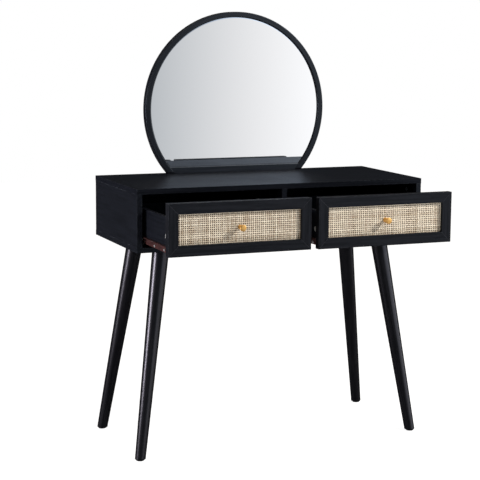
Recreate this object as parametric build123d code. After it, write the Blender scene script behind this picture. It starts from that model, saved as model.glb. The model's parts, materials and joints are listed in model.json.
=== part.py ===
from build123d import *
import os

# Vanity table with a round mirror: a two-drawer case on four splayed legs.
# Millimetres, +Z up, drawers open towards -Y. Everything is worked out with the case centred on x = 0,
# y = 0 and the floor at z = 0. save() then moves it so that the origin lies under the middle of the
# half-open table.

# ---- Driving dimensions: case ----
CASE_W = 900.0  # across both drawers
CASE_D = 390.0  # front to back
CASE_H = 180.0  # underside to table top
TABLE_H = 782.0  # floor to table top
BOARD_T = 15.0  # melamine-faced boards of the case
SIDE_SETBACK = 0.5  # the uprights stop this short of the top and bottom boards' edges
BACK_T = 3.0  # hardboard back
BACK_RABBET = 6.0  # how far the back is let into the boards round it
EASE = 0.5  # small break on board edges

# ---- Legs ----
FOOT_X = 438.5  # foot centre on the floor
FOOT_Y = 182.0
LEG_TOP_X = 350.0  # leg axis where it would meet the underside of the case
LEG_TOP_Y = 112.0
LEG_R_TOP = 24.5
LEG_R_FOOT = 15.5
GLIDE_R = 11.0
GLIDE_T = 3.0
PLATE_SIDE = 60.0  # square steel leg plate
PLATE_T = 2.5
BOSS_R = 15.0
BOSS_DROP = 9.0  # from the underside to the leg's top end, along the leg
BOSS_ROOT = 5.0  # how far the boss is carried up into its plate
PLATE_CORNER_R = 5.0
PLATE_SCREW_PITCH = 44.0
HANGER_R = 4.0
HANGER_IN_LEG = 32.0
HANGER_END = 3.0  # its top end stops this far below the case
FOOT_ROUND = 3.0
CROWN_BREAK = 1.0
GLIDE_PIN_R = 1.2
GLIDE_PIN_L = 12.0
GLIDE_BREAK = 0.6
BORE_SPARE = 2.0  # a blind bore is this much deeper than what stands in it

# ---- Mirror ----
MIRROR_R = 296.5
MIRROR_FACE_W = 16.5  # width of the frame seen from the front
MIRROR_CENTRE_H = 194.5  # centre above the table top
MIRROR_DEPTH = 20.0  # from the frame's front to the case's rear edge
MIRROR_OVERHANG = 3.5  # how far the ring stands out behind the case
MIRROR_RAIL_H = 17.0
MIRROR_BREAK = 1.2  # bevel on the front corners of the frame
GLASS_SET_BACK = 6.0
GLASS_GAP = 0.5  # round the glass, inside the rebate
GLASS_T = 4.0
GLASS_COVER = 7.0  # how far the frame's lip covers the glass
GLASS_BEVEL_W = 10.0
GLASS_BEVEL_T = 0.8
STRAP_X = 120.0
STRAP_W = 22.0
STRAP_H = 104.0
STRAP_T = 2.5
STRAP_CORNER_R = 5.0
STRAP_END = 1.5  # the straps start this far above the top board's underside

# ---- Drawers ----
LEFT_PULL = 205.0  # how far each drawer stands open at rest
RIGHT_PULL = 210.0
FRONT_W = 421.5
FRONT_H = 145.0
FRONT_T = 20.0
FRONT_GAP_BELOW = 3.0
FRAME_W = 30.0  # rails and stiles of the front
PANEL_RECESS = 8.0  # front face back to the rattan
PANEL_TONGUE = 8.0  # depth of the groove that holds the rattan and its backing
RATTAN_T = 2.0
BACKING_T = 6.0
BOX_L = 350.0
BOX_SIDE_T = 12.0
BOX_SIDE_BOTTOM = 628.2
BOX_SIDE_TOP = 724.0
BOX_BOTTOM_Z = 636.0
BOX_BOTTOM_T = 3.0
BOX_GROOVE = 5.0
SLIDE_SPACE = 12.5  # between the drawer's side and the case

# ---- Roller runners ----
SHEET_T = 1.2
RUNNER_Z = 621.1  # underside of the fixed runner
RUNNER_H = 23.2
RUNNER_REACH = 10.5
ROLLER_R = 10.0
ROLLER_W = 6.0
AXLE_R = 3.0
AXLE_CLEARANCE = 0.05
ROLL_GAP = 0.3  # between a roller's rim and what it rolls on
FIXED_ROLLER_BACK = 12.0  # from the fixed runner's front end
MOVING_ROLLER_BACK = 14.0  # from the drawer runner's rear end
RAIL_FLANGE_OUT = 9.0  # drawer runner's flange, outwards
RAIL_LIP_IN = 11.5  # drawer runner's lip, under the drawer's side

# ---- Knob ----
KNOB_R = 9.0
KNOB_NECK_R = 4.2
KNOB_FOOT_R = 6.5
KNOB_L = 26.0
KNOB_HEAD_T = 9.0
KNOB_FRONT_ROUND = 3.5
KNOB_REAR_ROUND = 2.0
KNOB_FOOT_T = 2.0
KNOB_FLARE = 2.5  # length of the cone between the foot and the neck
KNOB_THROAT = 3.5  # and of the one between the neck and the head
KNOB_SCREW_R = 2.0
KNOB_SCREW_L = 18.0
KNOB_TAPPING = 13.0

# ---- Fasteners ----
CAM_R = 7.5
CAM_INSET = 24.0
BOLT_R = 3.5
THREAD_R = 2.5
SCREW_R = 1.9
SCREW_HEAD_R = 3.6
SCREW_HEAD_T = 1.2
SCREW_SLOT = 0.7  # width of each arm of a screw's cross
CASE_CAM_T = 11.5
DRAWER_CAM_T = 9.0
CAM_SLOT = 1.4
CAM_FLOOR = 0.5  # left free under a cam lock
BOLT_GRIP = 10.0  # a cam bolt's thread, in the board it pulls
CASE_SCREW_L = 45.0
CASE_SCREW_HEAD_R = 4.6
PLATE_SCREW_L = 12.0
FIT = 0.05  # clearance round a fixed fastener

# ---- Worked out from the above ----
HALF_W = CASE_W / 2
HALF_D = CASE_D / 2
CASE_Z = TABLE_H - CASE_H
BAY_LOW = CASE_Z + BOARD_T
BAY_HIGH = TABLE_H - BOARD_T
SIDE_OUTER = HALF_W - SIDE_SETBACK
SIDE_INNER = SIDE_OUTER - BOARD_T
BAY_W = SIDE_INNER - BOARD_T / 2
BAY_X = (SIDE_INNER + BOARD_T / 2) / 2
BACK_Y = HALF_D - BACK_T - SIDE_SETBACK
MIRROR_FRONT_Y = HALF_D - MIRROR_DEPTH
MIRROR_Z = TABLE_H + MIRROR_CENTRE_H
GLASS_Y = MIRROR_FRONT_Y + GLASS_SET_BACK
LIP_R = MIRROR_R - MIRROR_FACE_W
REBATE_R = LIP_R + GLASS_COVER + GLASS_GAP
REBATE_Z = TABLE_H + MIRROR_RAIL_H - GLASS_COVER - GLASS_GAP
RING_REAR_Y = HALF_D + MIRROR_OVERHANG
FRONT_Z = BAY_LOW + FRONT_GAP_BELOW
FRONT_MID_Z = FRONT_Z + FRONT_H / 2
FRONT_BACK_Y = -HALF_D + FRONT_T
RATTAN_Y = -HALF_D + PANEL_RECESS
BACKING_Y = RATTAN_Y + RATTAN_T
POCKET_END_Y = BACKING_Y + BACKING_T
BOX_OUTER = BAY_W / 2 - SLIDE_SPACE
BOX_INNER = BOX_OUTER - BOX_SIDE_T
BOX_REAR_Y = FRONT_BACK_Y + BOX_L
RUNNER_FRONT_Y = FRONT_BACK_Y + 2.0
RUNNER_REAR_Y = RUNNER_FRONT_Y + BOX_L
RUNNER_TOP = RUNNER_Z + RUNNER_H
FIXED_ROLLER_Y = RUNNER_FRONT_Y + FIXED_ROLLER_BACK
FIXED_ROLLER_Z = RUNNER_TOP + 0.2 - ROLLER_R
RAIL_FLANGE_Z = FIXED_ROLLER_Z + ROLLER_R + ROLL_GAP
MOVING_ROLLER_Y = BOX_REAR_Y - MOVING_ROLLER_BACK
MOVING_ROLLER_Z = RUNNER_Z + SHEET_T + ROLL_GAP + ROLLER_R
KNOB_REACH = HALF_D + RIGHT_PULL - PANEL_RECESS + KNOB_L
STRAP_REACH = HALF_D + STRAP_T + SCREW_HEAD_T
ORIGIN_Y = (KNOB_REACH - STRAP_REACH) / 2

DRAWERS = {"left": (-BAY_X, LEFT_PULL), "right": (BAY_X, RIGHT_PULL)}
X_AXIS = (1, 0, 0)
Y_AXIS = (0, 1, 0)
Z_AXIS = (0, 0, 1)
OUT = (0, -1, 0)  # the way the drawers open


# ---- Helpers ----
def block(x0, x1, y0, y1, z0, z1):
    """A rectangular block between two corners."""
    size = (x1 - x0, y1 - y0, z1 - z0)
    return Pos((x0 + x1) / 2, (y0 + y1) / 2, (z0 + z1) / 2) * Box(*size)


def rod(start, direction, length, radius):
    """A cylinder that starts at a point and runs along a direction."""
    base = Plane(origin=start, z_dir=direction)
    return base * Cylinder(radius, length, align=(Align.CENTER, Align.CENTER, Align.MIN))


def cone(start, direction, length, r_start, r_end):
    """A cone that starts at a point and runs along a direction."""
    shape = Cone(r_start, r_end, length, align=(Align.CENTER, Align.CENTER, Align.MIN))
    return Plane(origin=start, z_dir=direction) * shape


def disc_y(radius, y0, y1):
    """A disc about the mirror's centre line, between two depths."""
    return rod((0, y0, MIRROR_Z), Y_AXIS, y1 - y0, radius)


def above(z):
    """Everything higher than z, as a large block."""
    return block(-CASE_W, CASE_W, -CASE_D, CASE_D, z, z + 2 * TABLE_H)


def mirrored(shape):
    """The same piece for the other side of x = 0."""
    return mirror(shape, about=Plane.YZ)


def screw(seat, direction, length, radius=SCREW_R, head_r=SCREW_HEAD_R, head_t=SCREW_HEAD_T):
    """A pan-head screw: the head stands on its seat and has a cross, the shank runs along the direction."""
    way = Vector(*direction)
    top = Vector(*seat) - way * head_t
    body = rod(top, way, head_t, head_r) + rod(seat, way, length, radius)
    frame = Plane(origin=top, z_dir=way)
    arm = head_r * 1.1
    cross = frame * Box(arm, SCREW_SLOT, head_t) + frame * Box(SCREW_SLOT, arm, head_t)
    return body - cross


def screw_hole(seat, direction, length, radius=SCREW_R):
    """The hole that such a screw stands in."""
    return rod(seat, direction, length, radius + FIT)


def cam_lock(mouth, direction, depth):
    """A round cam lock let into a board: the mouth is the centre of its visible face."""
    body = rod(mouth, direction, depth, CAM_R - FIT)
    frame = Plane(origin=mouth, z_dir=direction)
    arm = CAM_R * 1.3
    cross = frame * Box(arm, CAM_SLOT, 2.0) + frame * Box(CAM_SLOT, arm, 2.0)
    return body - cross


def group(solids):
    """Several separate solids kept as one sub-part."""
    return Compound([solid for shape in solids for solid in shape.solids()])


def save(node, shape):
    """Write one sub-part, moved so that the origin lies under the middle of the half-open table."""
    export_step(Pos(0, ORIGIN_Y, 0) * shape, f"parts/{node}.step")


# ---- Case ----
CAM_YS = (-HALF_D / 2 - 35.0, HALF_D / 2 + 35.0)
UPRIGHT_XS = (-SIDE_INNER - BOARD_T / 2, 0.0, SIDE_INNER + BOARD_T / 2)


def back_slab(reach, rear):
    """A slab where the back is, that reaches past the case's inside by so much, as far back as rear."""
    reach_x = SIDE_INNER + reach
    return block(-reach_x, reach_x, BACK_Y, rear, BAY_LOW - reach, BAY_HIGH + reach)


def back_panel():
    """The hardboard back, let into rabbets all round."""
    return back_slab(BACK_RABBET - 0.5, BACK_Y + BACK_T)


def back_rabbet():
    """What the boards round the back give up to it."""
    return back_slab(BACK_RABBET, HALF_D + 1)


def case_board(z0):
    """The top or the bottom board of the case."""
    board = block(-HALF_W, HALF_W, -HALF_D, HALF_D, z0, z0 + BOARD_T)
    return chamfer(board.edges(), EASE) - back_rabbet()


def upright(x_middle):
    """A side or the divider, with its bores for cam locks, their bolts and the screws from below."""
    low_x = x_middle - BOARD_T / 2
    reach_y = HALF_D - SIDE_SETBACK
    board = block(low_x, low_x + BOARD_T, -reach_y, reach_y, BAY_LOW, BAY_HIGH)
    board = board - back_rabbet()
    for mouth, direction in cam_mouths(x_middle):
        board -= rod(mouth, direction, CASE_CAM_T + CAM_FLOOR, CAM_R)
    for y in CAM_YS:
        board -= rod((x_middle, y, BAY_HIGH - CAM_INSET + 1), Z_AXIS, CAM_INSET, BOLT_R + FIT)
        board -= screw_hole((x_middle, y, CASE_Z), Z_AXIS, CASE_SCREW_L + BORE_SPARE, THREAD_R)
    return board


def cam_mouths(x_middle):
    """Where the cam locks of one upright show, and which way they go in: all open towards a bay."""
    inwards = -1 if x_middle > 0 else 1
    face = x_middle + inwards * BOARD_T / 2
    return [((face, y, BAY_HIGH - CAM_INSET), (-inwards, 0, 0)) for y in CAM_YS]


def top_bolts():
    """Bolts that stand in the top board and reach down to the cam locks."""
    low = BAY_HIGH - CAM_INSET + CAM_R + 0.5
    bolts = []
    for x in UPRIGHT_XS:
        for y in CAM_YS:
            shank = rod((x, y, low), Z_AXIS, BAY_HIGH - low, BOLT_R)
            bolts.append(shank + rod((x, y, BAY_HIGH), Z_AXIS, BOLT_GRIP, THREAD_R))
    return bolts


def make_case():
    """The box that the drawers run in, with what holds it together."""
    top = case_board(BAY_HIGH)
    bottom = case_board(CASE_Z)
    for x in UPRIGHT_XS:
        for y in CAM_YS:
            top -= rod((x, y, BAY_HIGH - 1), Z_AXIS, BOLT_GRIP + 1 + FIT, THREAD_R + FIT)
            bottom -= screw_hole((x, y, CASE_Z - 1), Z_AXIS, BOARD_T + 2, THREAD_R)
    for seat in strap_screw_seats(TABLE_H - BOARD_T / 2):
        top -= screw_hole(seat, OUT, STRAP_SCREW_LS[0] + BORE_SPARE)
    for corner in LEG_CORNERS:
        for seat in plate_screw_seats(corner):
            bottom -= screw_hole(seat, Z_AXIS, PLATE_SCREW_L)
    uprights = [upright(x) for x in UPRIGHT_XS]
    walls = (
        (0, -SIDE_INNER, 1),
        (1, -BOARD_T / 2, -1),
        (1, BOARD_T / 2, 1),
        (2, SIDE_INNER, -1),
    )
    for number, wall_x, inwards in walls:
        for seat in runner_screw_seats(wall_x, inwards):
            uprights[number] -= screw_hole(seat, (-inwards, 0, 0), RUNNER_SCREW_L)
    save("top_panel", top)
    save("bottom_panel", bottom)
    save("left_side_panel", uprights[0])
    save("centre_divider", uprights[1])
    save("right_side_panel", uprights[2])
    save("back_panel", back_panel())
    cams = [cam_lock(mouth, way, CASE_CAM_T) for x in UPRIGHT_XS for mouth, way in cam_mouths(x)]
    save("case_cam_fittings", group(cams + top_bolts()))
    seats = [(x, y, CASE_Z) for x in UPRIGHT_XS for y in CAM_YS]
    screws = [screw(seat, Z_AXIS, CASE_SCREW_L, THREAD_R, CASE_SCREW_HEAD_R) for seat in seats]
    save("case_screws", group(screws))


# ---- Legs ----
LEG_CORNERS = {
    "front_left": (-1, -1),
    "front_right": (1, -1),
    "back_left": (-1, 1),
    "back_right": (1, 1),
}


def leg_points(signs):
    """The leg's foot on the floor, where its axis meets the case, and the unit vector between them."""
    sx, sy = signs
    foot = Vector(sx * FOOT_X, sy * FOOT_Y, 0)
    top = Vector(sx * LEG_TOP_X, sy * LEG_TOP_Y, CASE_Z)
    return foot, top, (top - foot).normalized()


def plate_screw_seats(corner):
    """The four screws of a leg plate, on the plate's underside."""
    sx, sy = LEG_CORNERS[corner]
    x, y, z = sx * LEG_TOP_X, sy * LEG_TOP_Y, CASE_Z - PLATE_T
    offsets = (-PLATE_SCREW_PITCH / 2, PLATE_SCREW_PITCH / 2)
    return [(x + dx, y + dy, z) for dx in offsets for dy in offsets]


def leg(signs):
    """A straight taper, cut level at the foot with a rounded rim, bored for its hanger bolt and glide pin."""
    foot, top, way = leg_points(signs)
    length = (top - foot).length - BOSS_DROP
    slope = (LEG_R_TOP - LEG_R_FOOT) / length
    spare = 12.0  # past the floor, so that the level cut meets the whole section
    taper = cone(foot - way * spare, way, length + spare, LEG_R_FOOT - slope * spare, LEG_R_TOP)
    body = taper & above(GLIDE_T)
    rim = body.edges().group_by(Axis.Z)[0]
    body = fillet(rim, FOOT_ROUND)
    crown = body.edges().filter_by(GeomType.CIRCLE).sort_by(Axis.Z)[-1]
    body = chamfer(crown, CROWN_BREAK)
    bore = HANGER_IN_LEG + BORE_SPARE
    body -= rod(foot + way * (length - bore), way, bore + 1, HANGER_R + FIT)
    pin_bore = GLIDE_T + GLIDE_PIN_L + 1
    return body - rod((foot.X, foot.Y, 0), Z_AXIS, pin_bore, GLIDE_PIN_R + FIT)


def leg_plate(corner):
    """A pressed square plate whose boss turns the hanger bolt to the leg's splay."""
    sx, sy = LEG_CORNERS[corner]
    _, top, way = leg_points((sx, sy))
    half = PLATE_SIDE / 2
    square = (top.X - half, top.X + half, top.Y - half, top.Y + half)
    plate = block(*square, CASE_Z - PLATE_T, CASE_Z)
    plate = fillet(plate.edges().filter_by(Axis.Z), PLATE_CORNER_R)
    boss = rod(top - way * BOSS_DROP, way, BOSS_DROP + BOSS_ROOT, BOSS_R)
    plate += boss & block(*square, CASE_Z - 2 * BOSS_R, CASE_Z)
    plate -= rod(top - way * PLATE_SIDE / 2, way, PLATE_SIDE, HANGER_R + FIT)
    for x, y, z in plate_screw_seats(corner):
        plate -= rod((x, y, z - 1), Z_AXIS, PLATE_T + 2, SCREW_R + 0.2)
    return plate


def hanger_bolt(signs):
    """Half in the leg's top, half through the plate's boss."""
    _, top, way = leg_points(signs)
    start = top - way * (BOSS_DROP + HANGER_IN_LEG)
    return rod(start, way, HANGER_IN_LEG + BOSS_DROP - HANGER_END, HANGER_R)


def glide(signs):
    """A plastic disc with a pin, so that the level-cut foot stands on something soft."""
    foot, _, _ = leg_points(signs)
    disc = rod((foot.X, foot.Y, 0), Z_AXIS, GLIDE_T, GLIDE_R)
    disc = chamfer(disc.edges().group_by(Axis.Z)[0], GLIDE_BREAK)
    return disc + rod((foot.X, foot.Y, GLIDE_T), Z_AXIS, GLIDE_PIN_L, GLIDE_PIN_R)


def make_legs():
    """Four legs and the hardware that holds them to the case."""
    for name, signs in LEG_CORNERS.items():
        save(f"leg_{name}", leg(signs))
    save("leg_plates", group([leg_plate(corner) for corner in LEG_CORNERS]))
    seats = [seat for corner in LEG_CORNERS for seat in plate_screw_seats(corner)]
    save("leg_plate_screws", group([screw(seat, Z_AXIS, PLATE_SCREW_L) for seat in seats]))
    save("leg_hanger_bolts", group([hanger_bolt(signs) for signs in LEG_CORNERS.values()]))
    save("foot_glides", group([glide(signs) for signs in LEG_CORNERS.values()]))


# ---- Mirror ----
def strap_screw_seats(*heights):
    """Screw seats on the rear faces of the two straps, at the given heights."""
    y = HALF_D + STRAP_T
    return [(x, y, z) for x in (-STRAP_X, STRAP_X) for z in heights]


STRAP_LOW = TABLE_H - BOARD_T + STRAP_END
STRAP_SCREW_ZS = (TABLE_H - BOARD_T / 2, TABLE_H + 5.0, STRAP_LOW + STRAP_H - 10.0)
STRAP_SCREW_LS = (STRAP_T + 16.0, STRAP_T + 7.0, STRAP_T + 5.0)


def strap(x):
    """A flat steel strap across the joint between the table top and the mirror."""
    low_x, rear_y = x - STRAP_W / 2, HALF_D + STRAP_T
    body = block(low_x, low_x + STRAP_W, HALF_D, rear_y, STRAP_LOW, STRAP_LOW + STRAP_H)
    body = fillet(body.edges().filter_by(Axis.Y), STRAP_CORNER_R)
    for z in STRAP_SCREW_ZS:
        body -= rod((x, HALF_D - 1, z), Y_AXIS, STRAP_T + 2, SCREW_R + 0.2)
    return body


def mirror_ring():
    """The frame's L-shaped section, turned about the mirror's centre from the side that is cut away."""
    corners = [
        (MIRROR_FRONT_Y, LIP_R),
        (MIRROR_FRONT_Y, MIRROR_R),
        (RING_REAR_Y, MIRROR_R),
        (RING_REAR_Y, REBATE_R),
        (GLASS_Y, REBATE_R),
        (GLASS_Y, LIP_R),
    ]
    section = make_face(Polyline(*[(y, MIRROR_Z - r) for y, r in corners], close=True))
    front_corners = section.vertices().group_by(Axis.X)[0]
    section = Plane.YZ * chamfer(front_corners, MIRROR_BREAK)
    return revolve(section, Axis((0, 0, MIRROR_Z), Y_AXIS))


def make_mirror():
    """A round frame cut flat at the foot, its glass and backing, and the straps that hold it."""
    ring = mirror_ring() & above(TABLE_H)

    rail = disc_y(LIP_R, MIRROR_FRONT_Y, HALF_D) & above(TABLE_H)
    rail -= above(TABLE_H + MIRROR_RAIL_H)
    arris = rail.edges().filter_by(Axis.X).group_by(Axis.Y)[0].sort_by(Axis.Z)[-1]
    rail = chamfer(arris, MIRROR_BREAK)
    rail -= above(REBATE_Z) & disc_y(MIRROR_R, GLASS_Y, HALF_D + 1)

    glass_r, glass_low = REBATE_R - GLASS_GAP, REBATE_Z + GLASS_GAP
    glass = disc_y(glass_r, GLASS_Y, GLASS_Y + GLASS_T) & above(glass_low)
    rim = glass.edges().group_by(Axis.Y)[0]
    front = glass.faces().sort_by(Axis.Y)[0]
    glass = chamfer(rim, GLASS_BEVEL_W, GLASS_BEVEL_T, reference=front)

    backing = disc_y(glass_r, GLASS_Y + GLASS_T, HALF_D) & above(glass_low)
    for seat in strap_screw_seats(STRAP_SCREW_ZS[2]):
        backing -= screw_hole(seat, OUT, STRAP_SCREW_LS[2] + 1)
    for seat in strap_screw_seats(STRAP_SCREW_ZS[1]):
        rail -= screw_hole(seat, OUT, STRAP_SCREW_LS[1] + 1)
    save("mirror_frame", ring)
    save("mirror_bottom_rail", rail)
    save("mirror_glass", glass)
    save("mirror_backing", backing)
    save("mirror_straps", group([strap(-STRAP_X), strap(STRAP_X)]))
    screws = []
    for z, length in zip(STRAP_SCREW_ZS, STRAP_SCREW_LS):
        screws += [screw(seat, OUT, length) for seat in strap_screw_seats(z)]
    save("mirror_screws", group(screws))


# ---- Fixed runners ----
RUNNER_SCREW_L = 8.0
RUNNER_SCREW_BACKS = (60.0, 180.0, 330.0)
AXLE_L = 9.4  # from the web's back
RIVET_FOOT_R = 5.0
RIVET_HEAD_R = 4.5
ROLLER_BREAK = 0.6
ROLLER_WAIST = 1.0  # how far a roller's web is set back from its faces
ROLLER_RIM_R = 8.0
ROLLER_HUB_R = 4.8
FIXED_ROLLER_X = 2.4  # from the case wall to the fixed roller's near face
MOVING_ROLLER_X = 8.1  # from the drawer's side to the moving roller's far face


def runner_screw_seats(wall_x, inwards):
    """Screw seats on the inner face of a fixed runner's web."""
    z = RUNNER_Z + RUNNER_H / 2
    return [(wall_x + inwards * SHEET_T, RUNNER_FRONT_Y + back, z) for back in RUNNER_SCREW_BACKS]


def riveted_axle(centre, direction, foot_t, head_t):
    """A roller's axle: it stands on a runner's web and ends in a riveted head."""
    head_start = centre + Vector(*direction) * (AXLE_L + 0.1 - head_t)
    axle = rod(centre, direction, AXLE_L, AXLE_R) + rod(centre, direction, foot_t, RIVET_FOOT_R)
    return axle + rod(head_start, direction, head_t, RIVET_HEAD_R)


def fixed_runner():
    """The channel on a bay's left wall, in a bay centred on x = 0, with its riveted roller axle."""
    wall = -BAY_W / 2
    reach = wall + RUNNER_REACH
    web = block(wall, wall + SHEET_T, RUNNER_FRONT_Y, RUNNER_REAR_Y, RUNNER_Z, RUNNER_TOP)
    track = block(wall, reach, RUNNER_FRONT_Y, RUNNER_REAR_Y, RUNNER_Z, RUNNER_Z + SHEET_T)
    keeper_front = FIXED_ROLLER_Y + ROLLER_R + 4.0
    keeper = block(wall, reach, keeper_front, RUNNER_REAR_Y, RUNNER_TOP - SHEET_T, RUNNER_TOP)
    stop = block(wall, reach - 1, RUNNER_REAR_Y - SHEET_T, RUNNER_REAR_Y, RUNNER_Z, RUNNER_TOP - 6)
    centre = Vector(wall, FIXED_ROLLER_Y, FIXED_ROLLER_Z)
    axle = riveted_axle(centre, X_AXIS, 2.1, 0.8)
    body = web + track + keeper + stop + axle
    for back in RUNNER_SCREW_BACKS:
        seat = (wall - 1, RUNNER_FRONT_Y + back, RUNNER_Z + RUNNER_H / 2)
        body -= rod(seat, X_AXIS, SHEET_T + 2, SCREW_R + 0.1)
    return body


def roller(face_x, y, z):
    """A nylon roller with a waisted web, standing between face_x and face_x + ROLLER_W."""
    wheel = rod((face_x, y, z), X_AXIS, ROLLER_W, ROLLER_R)
    wheel = chamfer(wheel.edges(), ROLLER_BREAK)
    for face in (face_x, face_x + ROLLER_W):
        start = (face - ROLLER_WAIST, y, z)
        ditch = rod(start, X_AXIS, 2 * ROLLER_WAIST, ROLLER_RIM_R)
        wheel -= ditch - rod(start, X_AXIS, 2 * ROLLER_WAIST, ROLLER_HUB_R)
    return wheel - rod((face_x - 1, y, z), X_AXIS, ROLLER_W + 2, AXLE_R + AXLE_CLEARANCE)


def make_runners():
    """The fixed half of the drawer runners, in both bays."""
    screws = []
    for bay, (bay_x, _) in DRAWERS.items():
        left = fixed_runner()
        save(f"{bay}_bay_runners", Pos(bay_x, 0, 0) * group([left, mirrored(left)]))
        wheel = roller(-BAY_W / 2 + FIXED_ROLLER_X, FIXED_ROLLER_Y, FIXED_ROLLER_Z)
        save(f"{bay}_bay_left_roller", Pos(bay_x, 0, 0) * wheel)
        save(f"{bay}_bay_right_roller", Pos(bay_x, 0, 0) * mirrored(wheel))
        for sign in (-1, 1):
            seats = runner_screw_seats(bay_x + sign * BAY_W / 2, -sign)
            screws += [screw(seat, (sign, 0, 0), RUNNER_SCREW_L - 0.5) for seat in seats]
    save("runner_screws", group(screws))


# ---- Drawer fronts ----
def panel_slab(tongue, y0, y1):
    """A slab that fills the front's opening and reaches so far into the frame round it."""
    half_w = FRONT_W / 2 - FRAME_W + tongue
    half_h = FRONT_H / 2 - FRAME_W + tongue
    return block(-half_w, half_w, y0, y1, FRONT_MID_Z - half_h, FRONT_MID_Z + half_h)


def front_member(outer, inner):
    """A rail or stile: a mitred trapezium in the front's plane, grooved for the panel and eased."""
    corners = [outer[0], outer[1], inner[1], inner[0]]
    face = Plane.XZ * make_face(Polyline(*corners, close=True))
    body = Pos(0, -HALF_D + FRONT_T, 0) * extrude(face, FRONT_T)
    body = chamfer(body.edges().group_by(Axis.Y)[0], EASE)
    return body - panel_slab(PANEL_TONGUE, RATTAN_Y, POCKET_END_Y)


def front_frame():
    """The four mitred members, as (name, solid)."""
    ox, oz = FRONT_W / 2, FRONT_H / 2
    ix, iz = ox - FRAME_W, oz - FRAME_W
    outer = {"bl": (-ox, -oz), "br": (ox, -oz), "tr": (ox, oz), "tl": (-ox, oz)}
    inner = {"bl": (-ix, -iz), "br": (ix, -iz), "tr": (ix, iz), "tl": (-ix, iz)}
    raised = [{key: (x, z + FRONT_MID_Z) for key, (x, z) in ring.items()} for ring in (outer, inner)]
    members = {
        "top_rail": ("tr", "tl"),
        "bottom_rail": ("bl", "br"),
        "left_stile": ("tl", "bl"),
        "right_stile": ("br", "tr"),
    }
    for name, (a, b) in members.items():
        yield name, front_member([raised[0][a], raised[0][b]], [raised[1][a], raised[1][b]])


def front_panel(y0, y1):
    """The rattan or its backing: it fills the frame's groove with half a millimetre to spare."""
    panel = panel_slab(PANEL_TONGUE - 0.5, y0, y1)
    return panel - rod((0, y0 - 1, FRONT_MID_Z), Y_AXIS, y1 - y0 + 2, KNOB_SCREW_R + 0.2)


def knob():
    """A turned round knob: a foot, a neck that flares into a rounded head, tapped from behind."""
    way = Vector(*OUT)
    base = Vector(0, RATTAN_Y, FRONT_MID_Z)
    neck_start = base + way * KNOB_FOOT_T
    head_start = base + way * (KNOB_L - KNOB_HEAD_T)

    head = rod(head_start, OUT, KNOB_HEAD_T, KNOB_R)
    front_rim = head.edges().filter_by(GeomType.CIRCLE).sort_by(Axis.Y)[0]
    head = fillet(front_rim, KNOB_FRONT_ROUND)
    rear_rim = head.edges().filter_by(GeomType.CIRCLE).sort_by(Axis.Y)[-1]
    head = fillet(rear_rim, KNOB_REAR_ROUND)
    foot = rod(base, OUT, KNOB_FOOT_T, KNOB_FOOT_R)
    foot += cone(neck_start, OUT, KNOB_FLARE, KNOB_FOOT_R, KNOB_NECK_R)
    neck = rod(neck_start, OUT, KNOB_L - KNOB_HEAD_T - 1.0, KNOB_NECK_R)
    throat_start = head_start - way * (KNOB_THROAT - 0.5)
    throat = cone(throat_start, OUT, KNOB_THROAT, KNOB_NECK_R, KNOB_FOOT_R)
    tapping = rod(base - way, OUT, KNOB_TAPPING, KNOB_SCREW_R + FIT)
    return head + neck + foot + throat - tapping


# ---- Drawer boxes ----
DRAWER_CAM_Y = FRONT_BACK_Y + CAM_INSET
DRAWER_CAM_Z = 671.5
RAIL_SCREW_BACKS = (35.0, 114.0, 240.0)
RAIL_SCREW_Z = 633.0
BOX_SCREW_ZS = (662.0, 704.0)
BOX_SCREW_L = 36.0
RAIL_SCREW_L = 9.0
FRONT_BOLT_GRIP = 9.0


def box_side():
    """The left side of a drawer box, grooved for the bottom, with the bores for its fittings."""
    side = block(-BOX_OUTER, -BOX_INNER, FRONT_BACK_Y, BOX_REAR_Y, BOX_SIDE_BOTTOM, BOX_SIDE_TOP)
    top_edges = side.edges().filter_by(Axis.Y).group_by(Axis.Z)[-1]
    side = chamfer(top_edges, EASE)
    groove_x = -BOX_INNER - BOX_GROOVE
    groove_top = BOX_BOTTOM_Z + BOX_BOTTOM_T
    side -= block(groove_x, 0, FRONT_BACK_Y - 1, BOX_REAR_Y + 1, BOX_BOTTOM_Z, groove_top)
    cam_mouth = (-BOX_OUTER, DRAWER_CAM_Y, DRAWER_CAM_Z)
    side -= rod(cam_mouth, X_AXIS, DRAWER_CAM_T + CAM_FLOOR, CAM_R)
    middle = -BOX_OUTER + BOX_SIDE_T / 2
    side -= rod((middle, FRONT_BACK_Y - 1, DRAWER_CAM_Z), Y_AXIS, CAM_INSET, BOLT_R + FIT)
    for seat in rail_screw_seats():
        side -= screw_hole(seat, X_AXIS, RAIL_SCREW_L + 1)
    for z in BOX_SCREW_ZS:
        side -= screw_hole((-BOX_OUTER, BOX_REAR_Y - BOX_SIDE_T / 2, z), X_AXIS, BOX_SIDE_T + 1)
    return side


def box_back():
    """The back of a drawer box, standing on the bottom between the sides."""
    low = BOX_BOTTOM_Z + BOX_BOTTOM_T
    back = block(-BOX_INNER, BOX_INNER, BOX_REAR_Y - BOX_SIDE_T, BOX_REAR_Y, low, BOX_SIDE_TOP - 2.0)
    for z in BOX_SCREW_ZS:
        seat = (-BOX_OUTER, BOX_REAR_Y - BOX_SIDE_T / 2, z)
        bore = screw_hole(seat, X_AXIS, BOX_SCREW_L + BORE_SPARE)
        back -= bore
        back -= mirrored(bore)
    return back


def box_bottom():
    """A thin board held in the sides' grooves."""
    reach = BOX_INNER + BOX_GROOVE - 0.5
    low = BOX_BOTTOM_Z
    return block(-reach, reach, FRONT_BACK_Y, BOX_REAR_Y, low, low + BOX_BOTTOM_T)


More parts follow.
